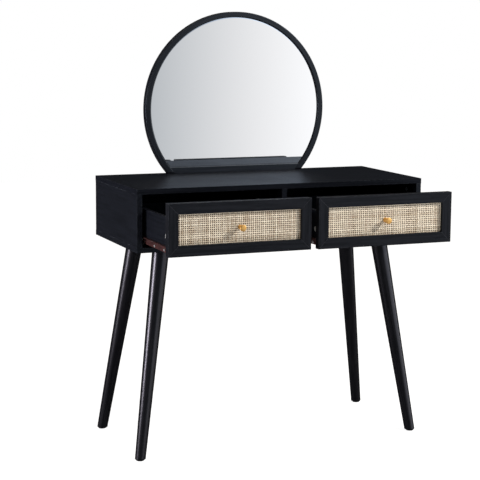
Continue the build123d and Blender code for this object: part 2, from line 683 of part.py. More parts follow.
def rail_screw_seats():
    """Screw seats on the outer face of the left drawer runner's web."""
    x = -BOX_OUTER - SHEET_T
    return [(x, FRONT_BACK_Y + back, RAIL_SCREW_Z) for back in RAIL_SCREW_BACKS]


def drawer_rail():
    """The drawer's runner: a web, a lip under the side, a flange over the fixed roller, an axle."""
    web_out = -BOX_OUTER - SHEET_T
    rail_low = BOX_SIDE_BOTTOM - SHEET_T
    rail_top = RAIL_FLANGE_Z + SHEET_T
    run = (FRONT_BACK_Y + 1, BOX_REAR_Y)
    web = block(web_out, -BOX_OUTER, *run, rail_low, rail_top)
    lip = block(web_out, -BOX_OUTER + RAIL_LIP_IN, *run, rail_low, BOX_SIDE_BOTTOM)
    flange = block(-BOX_OUTER - RAIL_FLANGE_OUT, web_out, *run, RAIL_FLANGE_Z, rail_top)
    centre = Vector(-BOX_OUTER, MOVING_ROLLER_Y, MOVING_ROLLER_Z)
    axle = riveted_axle(centre, (-1, 0, 0), 1.8, 1.1)
    body = web + lip + flange + axle
    for seat in rail_screw_seats():
        body -= rod((seat[0] - 1, seat[1], seat[2]), X_AXIS, SHEET_T + 2, SCREW_R + 0.1)
    return body


def drawer_fasteners():
    """Cam locks and bolts at the front, screws of the runners, of the back and of the knob."""
    middle = -BOX_OUTER + BOX_SIDE_T / 2
    cam = cam_lock((-BOX_OUTER, DRAWER_CAM_Y, DRAWER_CAM_Z), X_AXIS, DRAWER_CAM_T)
    bolt = rod((middle, FRONT_BACK_Y, DRAWER_CAM_Z), Y_AXIS, CAM_INSET - CAM_R - 0.5, BOLT_R)
    bolt += rod((middle, FRONT_BACK_Y, DRAWER_CAM_Z), OUT, FRONT_BOLT_GRIP, THREAD_R)
    one_side = [cam, bolt]
    for seat in rail_screw_seats():
        one_side.append(screw(seat, X_AXIS, RAIL_SCREW_L, head_r=3.4, head_t=1.0))
    rear = BOX_REAR_Y - BOX_SIDE_T / 2
    one_side += [screw((-BOX_OUTER, rear, z), X_AXIS, BOX_SCREW_L) for z in BOX_SCREW_ZS]
    knob_seat = (0, POCKET_END_Y, FRONT_MID_Z)
    knob_screw = screw(knob_seat, OUT, KNOB_SCREW_L, KNOB_SCREW_R, head_r=4.0, head_t=2.0)
    return group(one_side + [mirrored(piece) for piece in one_side] + [knob_screw])


def make_drawer(side, bay_x, pull):
    """One whole drawer, drawn out by its pull."""
    place = Pos(bay_x, -pull, 0)

    def keep(name, shape):
        save(f"{side}_drawer_{name}", place * shape)

    bore_start = (-BOX_OUTER + BOX_SIDE_T / 2, FRONT_BACK_Y + 1, DRAWER_CAM_Z)
    stile_bore = rod(bore_start, OUT, FRONT_BOLT_GRIP + 1.5, THREAD_R + FIT)
    for name, member in front_frame():
        keep(f"front_{name}", member - stile_bore - mirrored(stile_bore))
    keep("rattan", front_panel(RATTAN_Y, BACKING_Y))
    keep("front_backing", front_panel(BACKING_Y, POCKET_END_Y))
    keep("knob", knob())
    side_board = box_side()
    keep("box_left", side_board)
    keep("box_right", mirrored(side_board))
    keep("box_back", box_back())
    keep("box_bottom", box_bottom())
    rail = drawer_rail()
    keep("runners", group([rail, mirrored(rail)]))
    wheel = roller(-BOX_OUTER - MOVING_ROLLER_X, MOVING_ROLLER_Y, MOVING_ROLLER_Z)
    keep("left_roller", wheel)
    keep("right_roller", mirrored(wheel))
    keep("fasteners", drawer_fasteners())


os.makedirs("parts", exist_ok=True)
make_case()
make_legs()
make_mirror()
make_runners()
for drawer_side, (drawer_bay_x, drawer_pull) in DRAWERS.items():
    make_drawer(drawer_side, drawer_bay_x, drawer_pull)
print(f"origin lies {ORIGIN_Y:.2f} mm in front of the case's middle")
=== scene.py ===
# %% [markdown]
# # A vanity table with a round mirror
#
# The table is a shallow case of black boards on four splayed legs. Two drawers stand well open.
# Each drawer front is a mitred black frame round a panel of woven cane. A round mirror with a flat
# foot stands on the table top.
#
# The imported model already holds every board, leg, runner and screw at its true size and place. This
# lesson gives each of them its finish, and makes again the few pieces whose beauty lies in a finer
# surface: the cane weave, the mirror's rounded frame and the turned knobs.

# %% Load the table
import json
import math

import bpy
import numpy as np
from mathutils import Matrix, Vector


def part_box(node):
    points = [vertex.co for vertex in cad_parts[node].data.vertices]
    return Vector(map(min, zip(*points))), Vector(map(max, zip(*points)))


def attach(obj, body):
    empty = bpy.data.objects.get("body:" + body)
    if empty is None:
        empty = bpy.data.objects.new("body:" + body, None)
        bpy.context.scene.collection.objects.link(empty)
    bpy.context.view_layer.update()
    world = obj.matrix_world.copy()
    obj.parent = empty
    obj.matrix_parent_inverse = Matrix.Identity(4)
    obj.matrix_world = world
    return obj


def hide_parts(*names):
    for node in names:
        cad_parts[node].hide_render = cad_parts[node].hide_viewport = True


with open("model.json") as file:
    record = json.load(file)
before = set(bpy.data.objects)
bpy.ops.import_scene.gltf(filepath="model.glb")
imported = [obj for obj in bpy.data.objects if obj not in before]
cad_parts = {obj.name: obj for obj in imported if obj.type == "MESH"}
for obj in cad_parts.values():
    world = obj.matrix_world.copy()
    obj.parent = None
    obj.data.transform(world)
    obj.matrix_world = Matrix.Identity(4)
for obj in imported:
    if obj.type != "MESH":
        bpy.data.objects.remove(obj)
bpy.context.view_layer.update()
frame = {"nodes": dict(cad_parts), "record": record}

MM = 0.001
SIDES = ("left", "right")
print("pieces in the packed table:", len(frame["nodes"]))

# %% [markdown]
# ## Shader maths that reads like arithmetic
#
# A finish is a graph of small nodes. Written node by node, even "grain times wear" takes a page. A
# `Field` wraps one output of a node. Python's own operators on it add the Math nodes, so a finish
# can be read as a formula. The same `Graph` serves the finishes of the pieces and the sky of the
# studio.


# %% A field of numbers over a surface
class Field:
    """One output of a node. An operator on it adds a Math node, whose output is a new field."""

    def __init__(self, graph, socket):
        self.graph = graph
        self.socket = socket

    def math(self, operation, *terms):
        """Adds one Math node, whose inputs are the terms in order."""
        settings = {"operation": operation}
        return self.graph.node("ShaderNodeMath", settings, dict(enumerate(terms)))

    def __add__(self, other):
        return self.math("ADD", self, other)

    def __radd__(self, other):
        return self.math("ADD", other, self)

    def __sub__(self, other):
        return self.math("SUBTRACT", self, other)

    def __rsub__(self, other):
        return self.math("SUBTRACT", other, self)

    def __mul__(self, other):
        return self.math("MULTIPLY", self, other)

    def __rmul__(self, other):
        return self.math("MULTIPLY", other, self)

    def __truediv__(self, other):
        return self.math("DIVIDE", self, other)

    def __pow__(self, other):
        return self.math("POWER", self, other)

    def __abs__(self):
        return self.math("ABSOLUTE", self)

    def smaller(self, other):
        return self.math("MINIMUM", self, other)

    def larger(self, other):
        return self.math("MAXIMUM", self, other)

    def rise(self, low, high):
        """0 below low, 1 above high, and a smooth ramp between them."""
        settings = {"interpolation_type": "SMOOTHSTEP"}
        inputs = {"Value": self, "From Min": low, "From Max": high}
        return self.graph.node("ShaderNodeMapRange", settings, inputs)

    def fall(self, low, high):
        """1 below low, 0 above high, and a smooth ramp between them."""
        return 1.0 - self.rise(low, high)


class Graph:
    """A node tree, filled by one method that takes a node's type, its settings and its inputs."""

    def __init__(self, tree):
        self.tree = tree
        tree.nodes.clear()

    def node(self, kind, settings=None, inputs=None, output=0):
        """Adds a node. An input is a value or a field, and the settings come first because they change
        the sockets."""
        node = self.tree.nodes.new(kind)
        for name, value in (settings or {}).items():
            setattr(node, name, value)
        for key, value in (inputs or {}).items():
            if isinstance(value, Field):
                self.tree.links.new(value.socket, node.inputs[key])
            else:
                node.inputs[key].default_value = value
        return Field(self, node.outputs[output])

    def part(self, vector, direction):
        """How far a vector goes along a direction: their dot product."""
        settings = {"operation": "DOT_PRODUCT"}
        return self.node("ShaderNodeVectorMath", settings, {0: vector, 1: direction}, "Value")

    def vector(self, x, y, z):
        return self.node("ShaderNodeCombineXYZ", None, {0: x, 1: y, 2: z})

    def noise(self, vector, detail=2.0, roughness=0.5):
        """Smooth noise about 0.5, with one wave in each unit of the vector."""
        inputs = {"Vector": vector, "Scale": 1.0, "Detail": detail, "Roughness": roughness}
        return self.node("ShaderNodeTexNoise", None, inputs)

    def blend(self, share, first, second):
        """The first colour where share is 0 and the second where it is 1."""
        inputs = {0: share, 6: first, 7: second}
        return self.node("ShaderNodeMix", {"data_type": "RGBA"}, inputs, 2)

    def bump(self, height, distance):
        """A normal that shades the surface as if it rose by distance metres where height is 1."""
        return self.node("ShaderNodeBump", None, {"Height": height, "Distance": distance})

    def show(self, shader, kind):
        """Ends the graph: an output node of the given kind shows the shader."""
        output = self.tree.nodes.new(kind)
        self.tree.links.new(shader.socket, output.inputs["Surface"])


class Finish(Graph):
    """A material with one Principled shader and the place of each point in its own piece."""

    def __init__(self, name):
        self.material = bpy.data.materials.new(name)
        self.material.use_nodes = True
        super().__init__(self.material.node_tree)
        self.place = self.node("ShaderNodeTexCoord", output="Object")

    def shade(self, **sockets):
        """Sets the shader's sockets and shows it. The name base_color stands for the socket Base Color."""
        inputs = {}
        for name, value in sockets.items():
            inputs[name.replace("_", " ").title().replace("Ior", "IOR")] = value
        self.show(self.node("ShaderNodeBsdfPrincipled", None, inputs), "ShaderNodeOutputMaterial")
        return self.material


def paint(red, green, blue):
    """A colour from three linear shares of light, 0 to 1."""
    return (red, green, blue, 1.0)


def wear_finish(nodes, finish):
    """Puts one finish on every material slot of the named pieces."""
    for node in nodes:
        for slot in frame["nodes"][node].material_slots:
            slot.material = finish


X_WAY = Vector((1, 0, 0))
Y_WAY = Vector((0, 1, 0))
Z_WAY = Vector((0, 0, 1))
print("pieces that can wear a finish:", sum(bool(node.material_slots) for node in frame["nodes"].values()))

# %% [markdown]
# ## The camera
#
# A product picture of furniture is taken from far away with a long lens, so that upright lines stay
# nearly parallel. The camera stands a little to the left of the table, just above the table top,
# and looks down by a few degrees. Its axes are worked out from the two angles, with a small roll
# about the line of sight.

# %% Place the camera
AZIMUTH = math.radians(-22.65)  # turned to the table's left from straight in front
ELEVATION = math.radians(8.60)
ROLL = math.radians(0.413)
CAMERA_PLACE = Vector((-1.7522, -3.94875, 1.2580))
SENSOR = 36.0
LENS = 110.74


def camera_axes(azimuth, elevation, roll):
    """Right, up and back. Back points from the scene to the camera. Right starts level, as the cross
    product of up and back, and then right and up turn about back by the roll."""
    level = math.cos(elevation)
    back = Vector((math.sin(azimuth) * level, -math.cos(azimuth) * level, math.sin(elevation)))
    right = Z_WAY.cross(back).normalized()
    up = back.cross(right)
    turned_right = math.cos(roll) * right + math.sin(roll) * up
    turned_up = math.cos(roll) * up - math.sin(roll) * right
    return turned_right, turned_up, back


lens = bpy.data.cameras.new("camera")
lens.sensor_width = SENSOR
lens.lens = LENS
lens.clip_end = 100.0
camera = bpy.data.objects.new("camera", lens)
turn = Matrix(camera_axes(AZIMUTH, ELEVATION, ROLL)).transposed()
camera.matrix_world = Matrix.Translation(CAMERA_PLACE) @ turn.to_4x4()
bpy.context.scene.collection.objects.link(camera)
bpy.context.scene.camera = camera
print("the camera looks along", [round(x, 3) for x in -(turn @ Z_WAY)])

# %% [markdown]
# ## The studio
#
# Black furniture shows mostly what it mirrors. So the studio is dark except where a highlight is
# wanted. Its sky is a formula of the direction: a soft dome overhead, and a glow at the front right
# that grows brighter to the right. The round mirror looks straight into that glow, which is why the
# glass runs from grey to white. The glow is nearly white at eye level and bluer above it, where
# only the black table top mirrors it. The dome is slightly warm. What the camera sees behind the
# table is plain white paper.

# %% Paint the sky
PAPER_WHITE = paint(1.0, 1.0, 1.0)
DOME_LIGHT = 0.68
GLOW_START = (0.235, 0.09)  # bearing to the right, as a sine, and its brightness
GLOW_END = (0.475, 1.25)
STUDIO_DARK = 0.035
FAINT_GLOW = paint(0.88, 0.94, 1.0)
FULL_GLOW = paint(0.99, 0.985, 1.0)
COLD_GLOW = paint(0.80, 0.94, 1.16)
WARM_DOME = paint(1.0, 0.93, 0.83)

world = bpy.data.worlds.new("studio")
world.use_nodes = True
bpy.context.scene.world = world
bpy.context.scene.view_settings.view_transform = "Standard"


def paint_sky(sky):
    """Brightness is the dark of the room, plus a dome that rises with height, plus the glow at the
    front right, which is kept to a low band. Height and bearing are sines of the angles above level and
    to the right."""
    direction = sky.node("ShaderNodeTexCoord", output="Generated")
    east = sky.part(direction, X_WAY)
    ahead = sky.part(direction, -Y_WAY)
    height = sky.part(direction, Z_WAY)
    level = (1.0 - height * height) ** 0.5
    bearing = east / level.larger(0.001)
    (start, dim), (end, bright) = GLOW_START, GLOW_END
    ramp = {"Value": bearing, "From Min": start, "From Max": end, "To Min": dim, "To Max": bright}
    glow = sky.node("ShaderNodeMapRange", None, ramp)
    low_band = height.rise(-0.20, -0.12) * height.fall(0.05, 0.5)
    dome = height.rise(0.45, 0.85) * DOME_LIGHT
    light = dome + glow * ahead.rise(0.0, 0.4) * low_band + STUDIO_DARK
    tint = sky.blend(glow.rise(0.3, 0.9), FAINT_GLOW, FULL_GLOW)
    tint = sky.blend(height.rise(0.0, 0.06), tint, COLD_GLOW)
    tint = sky.blend(height.rise(0.3, 0.5), tint, WARM_DOME)
    lit = sky.node("ShaderNodeBackground", None, {"Color": tint, "Strength": light})
    paper = sky.node("ShaderNodeBackground", None, {"Color": PAPER_WHITE, "Strength": 1.0})
    seen = sky.node("ShaderNodeLightPath", output="Is Camera Ray")
    sky.show(sky.node("ShaderNodeMixShader", None, {0: seen, 1: lit, 2: paper}), "ShaderNodeOutputWorld")


paint_sky(Graph(world.node_tree))
print("the sky is a formula of", len(world.node_tree.nodes), "nodes")

# %% [markdown]
# ## The lamps
#
# One small lamp at the upper right gives the knobs and the frames their short shadows on the cane.
# A broad lamp at the left and a narrow strip at the right draw lines of light down the round legs.
# The lamps are hidden from the camera, so that no view shows a lamp.

# %% Hang the lamps
TABLE_MIDDLE = Vector((0.0, 0.0, 0.65))
LAMPS = {  # direction from the table, distance, width and height in metres, brightness, colour
    "key_lamp": ((1.25, -1.0, 0.88), 3.6, (0.16, 0.16), 1420.0, (1.0, 0.985, 0.955)),
    "left_strip": ((-0.99, 0.02, 0.08), 3.0, (0.8, 1.2), 24.0, (0.96, 0.93, 1.0)),
    "right_strip": ((0.97, -0.23, 0.0), 3.0, (0.30, 1.5), 2.0, (0.94, 0.96, 1.0)),
}


def softbox(name, direction, distance, size, brightness, colour):
    """A rectangular lamp that faces the table. Power in watts is brightness times pi times the lamp's
    area."""
    lamp = bpy.data.lights.new(name, "AREA")
    lamp.shape = "RECTANGLE"
    lamp.size, lamp.size_y = size
    lamp.energy = brightness * math.pi * size[0] * size[1]
    lamp.color = colour
    holder = bpy.data.objects.new(name, lamp)
    away = Vector(direction).normalized()
    holder.location = TABLE_MIDDLE + away * distance
    holder.rotation_mode = "QUATERNION"
    holder.rotation_quaternion = (-away).to_track_quat("-Z", "Y")
    holder.visible_camera = False
    bpy.context.scene.collection.objects.link(holder)
    return lamp


for name, settings in LAMPS.items():
    print(name, "gives", round(softbox(name, *settings).energy, 1), "watts")

# %% [markdown]
# ## The floor
#
# The floor is pale paper that glows by itself, so the table's shadow on it stays faint. Glossy
# surfaces don't see the floor, as in a studio where dark cloth is laid just out of view.

# %% Lay the floor
FLOOR_RADIUS = 7.0
FLOOR_SIDES = 96
PAPER_GREY = paint(0.36, 0.36, 0.36)
PAPER_PALE = paint(0.40, 0.40, 0.40)
PAPER_GLOW = 0.87


def disc(name, radius, sides):
    """A flat disc on the ground: points at equal angles on a circle, joined as one face."""
    angle = np.linspace(0.0, 2.0 * np.pi, sides, endpoint=False)
    rim = np.stack((radius * np.cos(angle), radius * np.sin(angle), np.zeros(sides)), axis=1)
    mesh = bpy.data.meshes.new(name)
    mesh.from_pydata(rim.tolist(), [], [list(range(sides))])
    piece = bpy.data.objects.new(name, mesh)
    bpy.context.scene.collection.objects.link(piece)
    return piece


def floor_finish():
    """Pale paper: a weak grey plus its own glow, with a faint cloudiness."""
    finish = Finish("pale_floor")
    colour = finish.blend(finish.noise(finish.place, 2.0), PAPER_GREY, PAPER_PALE)
    return finish.shade(
        base_color=colour, roughness=0.9, emission_color=PAPER_WHITE, emission_strength=PAPER_GLOW
    )


floor = disc("floor", FLOOR_RADIUS, FLOOR_SIDES)
floor.data.materials.append(floor_finish())
floor.visible_glossy = False
print("the floor is", 2 * FLOOR_RADIUS, "metres across")

# %% [markdown]
# ## Grain, rubbed edges and painted edge highlights
#
# Wood and wood-grain foil look alike in one way: every mark is drawn out along the grain. So the
# noise that makes the marks is stretched along one direction. Use rubs a board at its edges first,
# and on the foil the paler edges are also a painted highlight where light would catch each edge.
# A point on the skin of a board has three distances to the board's faces. The smallest is nought,
# since the point is on a face. The middle one tells how far the nearest edge is.

# %% Marks along a direction, and the distance to an edge
def across(along):
    """Two directions square to a given one and to each other."""
    helper = X_WAY if abs(along.x) < 0.7 else Y_WAY
    side = along.cross(helper).normalized()
    return side, along.cross(side)


def grain(finish, along, width, length, detail=2.0):
    """Noise with one wave in each width metres across the grain and in each length metres along it."""
    side, lift = across(along)
    spot = finish.vector(
        finish.part(finish.place, side) / width,
        finish.part(finish.place, lift) / width,
        finish.part(finish.place, along) / length,
    )
    return finish.noise(spot, detail)


def cloud(finish, size, detail=2.0):
    """Noise with one wave in each size metres, the same in every direction."""
    return grain(finish, Z_WAY, size, size, detail)


def edge_distance(finish, low, high):
    """The middle one of a point's distances to the faces of its box: their sum less the largest, on the
    skin."""
    gaps = []
    for way, a, b in zip((X_WAY, Y_WAY, Z_WAY), low, high):
        gaps.append((b - a) / 2 - abs(finish.part(finish.place, way) - (a + b) / 2))
    largest = gaps[0].larger(gaps[1]).larger(gaps[2])
    return gaps[0] + gaps[1] + gaps[2] - largest


print("square to the Z direction:", across(Z_WAY))

# %% [markdown]
# ## The black boards
#
# The case is made of chipboard faced with a black foil. The foil is printed and pressed with a fine
# wood grain, so it shows long pale streaks and short pores, and it has a dull sheen. The grain runs
# along each board. Where two foiled pieces are mitred together, the cut shows as a fine pale line
# at 45 degrees.

# %% Finish the boards
FOIL_BLACK = paint(0.0042, 0.0047, 0.0065)
FOIL_GREY = paint(0.0092, 0.0102, 0.0142)
# pale tone for worn edges, dust and mitre cuts; on the foil's edges it is also a painted highlight
PALE_WEAR_AND_EDGE_HIGHLIGHT = paint(0.052, 0.056, 0.066)
COOL_SHEEN = paint(0.72, 0.85, 1.0)
CASE_SHEEN = 0.14
TOP_SHEEN = 0.03  # the top is seen at a low angle, where any sheen looks strong


def mitre_line(finish, low, high):
    """1 on the lines at 45 degrees from the corners of a front: there, the distances to a side and to
    an end match."""
    inward = []
    for way, a, b in ((X_WAY, low.x, high.x), (Z_WAY, low.z, high.z)):
        inward.append((b - a) / 2 - abs(finish.part(finish.place, way) - (a + b) / 2))
    return abs(inward[0] - inward[1]).fall(0.0003, 0.0013)


def foil_finish(
    name, along, box, black=FOIL_BLACK, grey=FOIL_GREY, dullness=0.27, sheen=0.10, mitred=None
):
    """Black wood-grain foil: streaks and pores along the grain, paler and smoother at the edges. The
    paler edges are partly wear and partly a painted highlight along each edge."""
    finish = Finish(name)
    streaks = grain(finish, along, 0.0042, 0.16, 3.0)
    pores = grain(finish, along, 0.0008, 0.018)
    handled = cloud(finish, 0.09)
    edge = edge_distance(finish, *box).fall(0.0002, 0.0018)
    # paler edges: partly wear, partly a painted highlight where light would catch the edge
    rubbed_and_highlit = edge * cloud(finish, 0.012, 3.0).rise(0.42, 0.60)
    tone = streaks.rise(0.36, 0.66) * 0.65 + pores.rise(0.40, 0.62) * 0.35
    colour = finish.blend(tone, black, grey)
    colour = finish.blend(rubbed_and_highlit * 0.35, colour, PALE_WEAR_AND_EDGE_HIGHLIGHT)
    roughness = dullness + pores * 0.10 + handled * 0.08 - rubbed_and_highlit * 0.12
    height = pores.rise(0.35, 0.65)
    if mitred:
        cut = mitre_line(finish, *mitred)
        colour = finish.blend(cut * 0.45, colour, PALE_WEAR_AND_EDGE_HIGHLIGHT)
        height = height - cut * 3.0
    normal = finish.bump(height, 0.00003)
    sheens = {"specular_ior_level": sheen, "specular_tint": COOL_SHEEN}
    return finish.shade(base_color=colour, roughness=roughness, normal=normal, **sheens)


BOARD_GRAIN = {
    "top_panel": X_WAY,
    "bottom_panel": X_WAY,
    "left_side_panel": Y_WAY,
    "right_side_panel": Y_WAY,
    "centre_divider": Y_WAY,
    "back_panel": X_WAY,
}
for node, along in BOARD_GRAIN.items():
    sheen = TOP_SHEEN if node == "top_panel" else CASE_SHEEN
    wear_finish([node], foil_finish(node + "_foil", along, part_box(node), sheen=sheen))
print("case boards in foil:", len(BOARD_GRAIN))

# %% [markdown]
# ## The drawers' boards
#
# The front frames are the same foil wrapped round a moulding, with a duller skin. The grain turns
# with each rail and stile, and the mitred corners show where two foils meet. The four rails and
# stiles of a front share one box, so that the wear and the painted edge highlight follow the edges of
# the whole front. The bottom of the box is rougher than its sides.

# %% Finish the drawers
FRONT_BLACK = paint(0.0026, 0.0025, 0.0034)
FRONT_GREY = paint(0.0100, 0.0098, 0.0125)
FRONT_DULLNESS = 0.42
FRONT_SHEEN = 0.16
BOTTOM_DULLNESS = 0.6


def joined_box(nodes):
    """The box round several nodes at rest."""
    boxes = [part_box(node) for node in nodes]
    low = Vector(np.min([box[0] for box in boxes], axis=0))
    high = Vector(np.max([box[1] for box in boxes], axis=0))
    return low, high


FRONT_GRAIN = {"top_rail": X_WAY, "bottom_rail": X_WAY, "left_stile": Z_WAY, "right_stile": Z_WAY}
BOX_GRAIN = {"left": Y_WAY, "right": Y_WAY, "back": X_WAY, "bottom": X_WAY}
FRONT_LOOK = (FRONT_BLACK, FRONT_GREY, FRONT_DULLNESS, FRONT_SHEEN)
for side in SIDES:
    members = {f"{side}_drawer_front_{member}": along for member, along in FRONT_GRAIN.items()}
    front = joined_box(members)
    for node, along in members.items():
        wear_finish([node], foil_finish(node + "_foil", along, front, *FRONT_LOOK, front))
    for board, along in BOX_GRAIN.items():
        node = f"{side}_drawer_box_{board}"
        dullness = {"dullness": BOTTOM_DULLNESS} if board == "bottom" else {}
        wear_finish([node], foil_finish(node + "_foil", along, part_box(node), **dullness))
    print(side, "drawer front, metres:", [round(size, 4) for size in front[1] - front[0]])

# %% [markdown]
# ## Surfaces from grids
#
# Each new piece is a surface of two parameters. The points are worked out as whole arrays, in rows
# and columns, and one helper joins neighbours into four-sided faces. A closed outline wraps its
# last column round to its first. The two open ends of a bar are closed by one many-sided face each.


# %% From arrays of points to a piece
def grid_faces(rows, columns, wrap):
    """Faces of a grid of points numbered row by row. Each face joins a point, its right neighbour and
    the two points next to them in the following row."""
    across_count = columns if wrap else columns - 1
    row, column = np.meshgrid(np.arange(rows - 1), np.arange(across_count), indexing="ij")
    right = (column + 1) % columns
    this_row, next_row = row * columns, (row + 1) * columns
    corners = (this_row + column, this_row + right, next_row + right, next_row + column)
    return np.stack(corners, axis=-1).reshape(-1, 4)


def add_piece(name, points, faces, body, replaced, finish):
    """A smooth mesh piece from points and faces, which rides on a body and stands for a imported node."""
    mesh = bpy.data.meshes.new(name)
    mesh.from_pydata(np.asarray(points).reshape(-1, 3).tolist(), [], [list(face) for face in faces])
    mesh.polygons.foreach_set("use_smooth", np.ones(len(mesh.polygons), dtype=bool))
    mesh.update()
    mesh.materials.append(finish)
    piece = bpy.data.objects.new(name, mesh)
    bpy.context.scene.collection.objects.link(piece)
    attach(piece, body)
    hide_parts(replaced)
    print(name, "has", len(mesh.polygons), "faces")
    return piece


def rounded_outline(corners, radii, steps, shoulder):
    """A closed outline with each corner rounded by a parabola: (1-t)^2 A + 2t(1-t) C + t^2 B, where A
    and B lie one radius from the corner C. A point a shoulder's length beyond each end keeps the flats
    flat when shaded."""
    corners = np.asarray(corners, float)
    before = np.roll(corners, 1, axis=0) - corners
    after = np.roll(corners, -1, axis=0) - corners
    before /= np.linalg.norm(before, axis=1)[:, None]
    after /= np.linalg.norm(after, axis=1)[:, None]
    radii = np.asarray(radii, float)[:, None]
    t = np.linspace(0.0, 1.0, steps)[None, :, None]
    start = (corners + before * radii)[:, None]
    end = (corners + after * radii)[:, None]
    arcs = (1 - t) ** 2 * start + 2 * t * (1 - t) * corners[:, None] + t**2 * end
    first = start + before[:, None] * shoulder
    last = end + after[:, None] * shoulder
    return np.concatenate((first, arcs, last), axis=1).reshape(-1, 2)


# %% [markdown]
# ## The lacquered pieces
#
# Legs, mirror frame and the mirror's foot rail are sprayed with satin black lacquer over sanded
# wood. The lacquer fills nearly all of the grain, so only faint long marks stay, and the sheen is
# smoother than the foil's.

# %% Lacquer
LACQUER_BLACK = paint(0.0018, 0.0018, 0.0024)
LACQUER_GREY = paint(0.0050, 0.0050, 0.0062)
FRAME_BLACK = paint(0.0040, 0.0043, 0.0058)
FRAME_GREY = paint(0.0105, 0.0110, 0.0145)
FRAME_DULLNESS = 0.34
FRAME_SHEEN = 0.25
RAIL_SHEEN = 0.4
NEUTRAL_SHEEN = paint(0.94, 0.91, 1.0)


def lacquer_finish(
    name, along, box, black=LACQUER_BLACK, grey=LACQUER_GREY, dullness=0.26, sheen=0.55, tint=NEUTRAL_SHEEN
):
    """Satin lacquer: faint long marks, a slight ripple, and paler spots where the end of the piece is
    knocked."""
    finish = Finish(name)
    marks = grain(finish, along, 0.0035, 0.14, 3.0)
    ripple = grain(finish, along, 0.012, 0.05)
    dust = cloud(finish, 0.0011, 1.0).rise(0.66, 0.74)
    edge = edge_distance(finish, *box).fall(0.0002, 0.0016)
    knocked = edge * cloud(finish, 0.010, 3.0).rise(0.45, 0.62)
    colour = finish.blend(marks.rise(0.38, 0.68), black, grey)
    colour = finish.blend(knocked * 0.3 + dust * 0.10, colour, PALE_WEAR_AND_EDGE_HIGHLIGHT)
    roughness = dullness + marks * 0.06 + dust * 0.2
    normal = finish.bump(marks * 0.4 + ripple, 0.00004)
    sheens = {"specular_ior_level": sheen, "specular_tint": tint}
    return finish.shade(base_color=colour, roughness=roughness, normal=normal, **sheens)


rail_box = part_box("mirror_bottom_rail")
rail_look = (FRAME_BLACK, FRAME_GREY, FRAME_DULLNESS, RAIL_SHEEN, COOL_SHEEN)
wear_finish(["mirror_bottom_rail"], lacquer_finish("mirror_rail_lacquer", X_WAY, rail_box, *rail_look))
print("the mirror's foot rail is", round(rail_box[1].x - rail_box[0].x, 4), "metres long")

# %% [markdown]
# ## The mirror's round frame
#
# The frame is a ring with an L-shaped section: a front lip holds the glass, and the outer wall
# covers its edge. The ring is cut off flat where it stands on the table. It could be bent from a
# moulding or cut from board with a router. Here the section is an outline with rounded corners,
# carried round the circle. Each point of the section stops where its own circle meets the table
# top, so the two feet end flat.

# %% Carry the section round the circle
FRAME_FACE = 16.5 * MM
LIP_DEPTH = 6.0 * MM
LIP_COVER = 7.5 * MM
FRONT_ROUND = 2.2 * MM
BACK_ROUND = 0.8 * MM
INNER_ROUND = 0.2 * MM
SHOULDER = 0.3 * MM
ROUND_STEPS = 6  # points on each rounded corner of the section
RING_STEPS = 220

frame_low, frame_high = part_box("mirror_frame")
ring_radius = (frame_high.x - frame_low.x) / 2
ring_middle_z = frame_high.z - ring_radius
foot_drop = ring_middle_z - frame_low.z


def ring_outline():
    """The L-shaped section as (distance from the middle of the ring, place from front to back)."""
    lip = ring_radius - FRAME_FACE
    wall = lip + LIP_COVER
    front, behind, back = frame_low.y, frame_low.y + LIP_DEPTH, frame_high.y
    lip_corners = [(ring_radius, front), (lip, front), (lip, behind)]
    wall_corners = [(wall, behind), (wall, back), (ring_radius, back)]
    rounds = [FRONT_ROUND, FRONT_ROUND, BACK_ROUND, INNER_ROUND, BACK_ROUND, BACK_ROUND]
    return rounded_outline(lip_corners + wall_corners, rounds, ROUND_STEPS, SHOULDER)


def ring_points(outline, steps):
    """Each section point runs on its circle, from the table top on one side to the table top on the
    other: the angle below level at which a circle of radius r meets the top is the arcsine of the
    foot's drop over r."""
    radius, depth = outline[:, 0], outline[:, 1]
    below = np.arcsin(foot_drop / radius)
    share = np.linspace(0.0, 1.0, steps)[:, None]
    angle = -below + share * (np.pi + 2 * below)
    middle_x = (frame_low.x + frame_high.x) / 2
    x = middle_x + radius * np.cos(angle)
    z = ring_middle_z + radius * np.sin(angle)
    return np.stack((x, np.broadcast_to(depth, x.shape), z), axis=-1)


def frame_finish():
    """Lacquer whose marks follow the ring: the angle round its middle takes the place of the grain's
    direction."""
    finish = Finish("mirror_frame_lacquer")
    east = finish.part(finish.place, X_WAY) - (frame_low.x + frame_high.x) / 2
    height = finish.part(finish.place, Z_WAY) - ring_middle_z
    angle = height.math("ARCTAN2", height, east)
    radius = (east * east + height * height) ** 0.5
    depth = finish.part(finish.place, Y_WAY)
    spot = finish.vector(radius / 0.0035, depth / 0.0035, angle * 2.4)
    marks = finish.noise(spot, 3.0)
    dust = cloud(finish, 0.0012, 1.0).rise(0.66, 0.74)
    half_face = FRAME_FACE / 2
    rim = abs(radius - (ring_radius - half_face)).rise(half_face - 0.0016, half_face - 0.0004)
    near_front = depth.fall(frame_low.y + 0.001, frame_low.y + 0.003)
    rubbed_and_highlit = rim * near_front * cloud(finish, 0.012, 3.0).rise(0.40, 0.62)
    colour = finish.blend(marks.rise(0.36, 0.68), FRAME_BLACK, FRAME_GREY)
    colour = finish.blend(rubbed_and_highlit * 0.3 + dust * 0.08, colour, PALE_WEAR_AND_EDGE_HIGHLIGHT)
    roughness = FRAME_DULLNESS + marks * 0.08 - rubbed_and_highlit * 0.08
    normal = finish.bump(marks, 0.00003)
    sheens = {"specular_ior_level": FRAME_SHEEN, "specular_tint": COOL_SHEEN}
    return finish.shade(base_color=colour, roughness=roughness, normal=normal, **sheens)


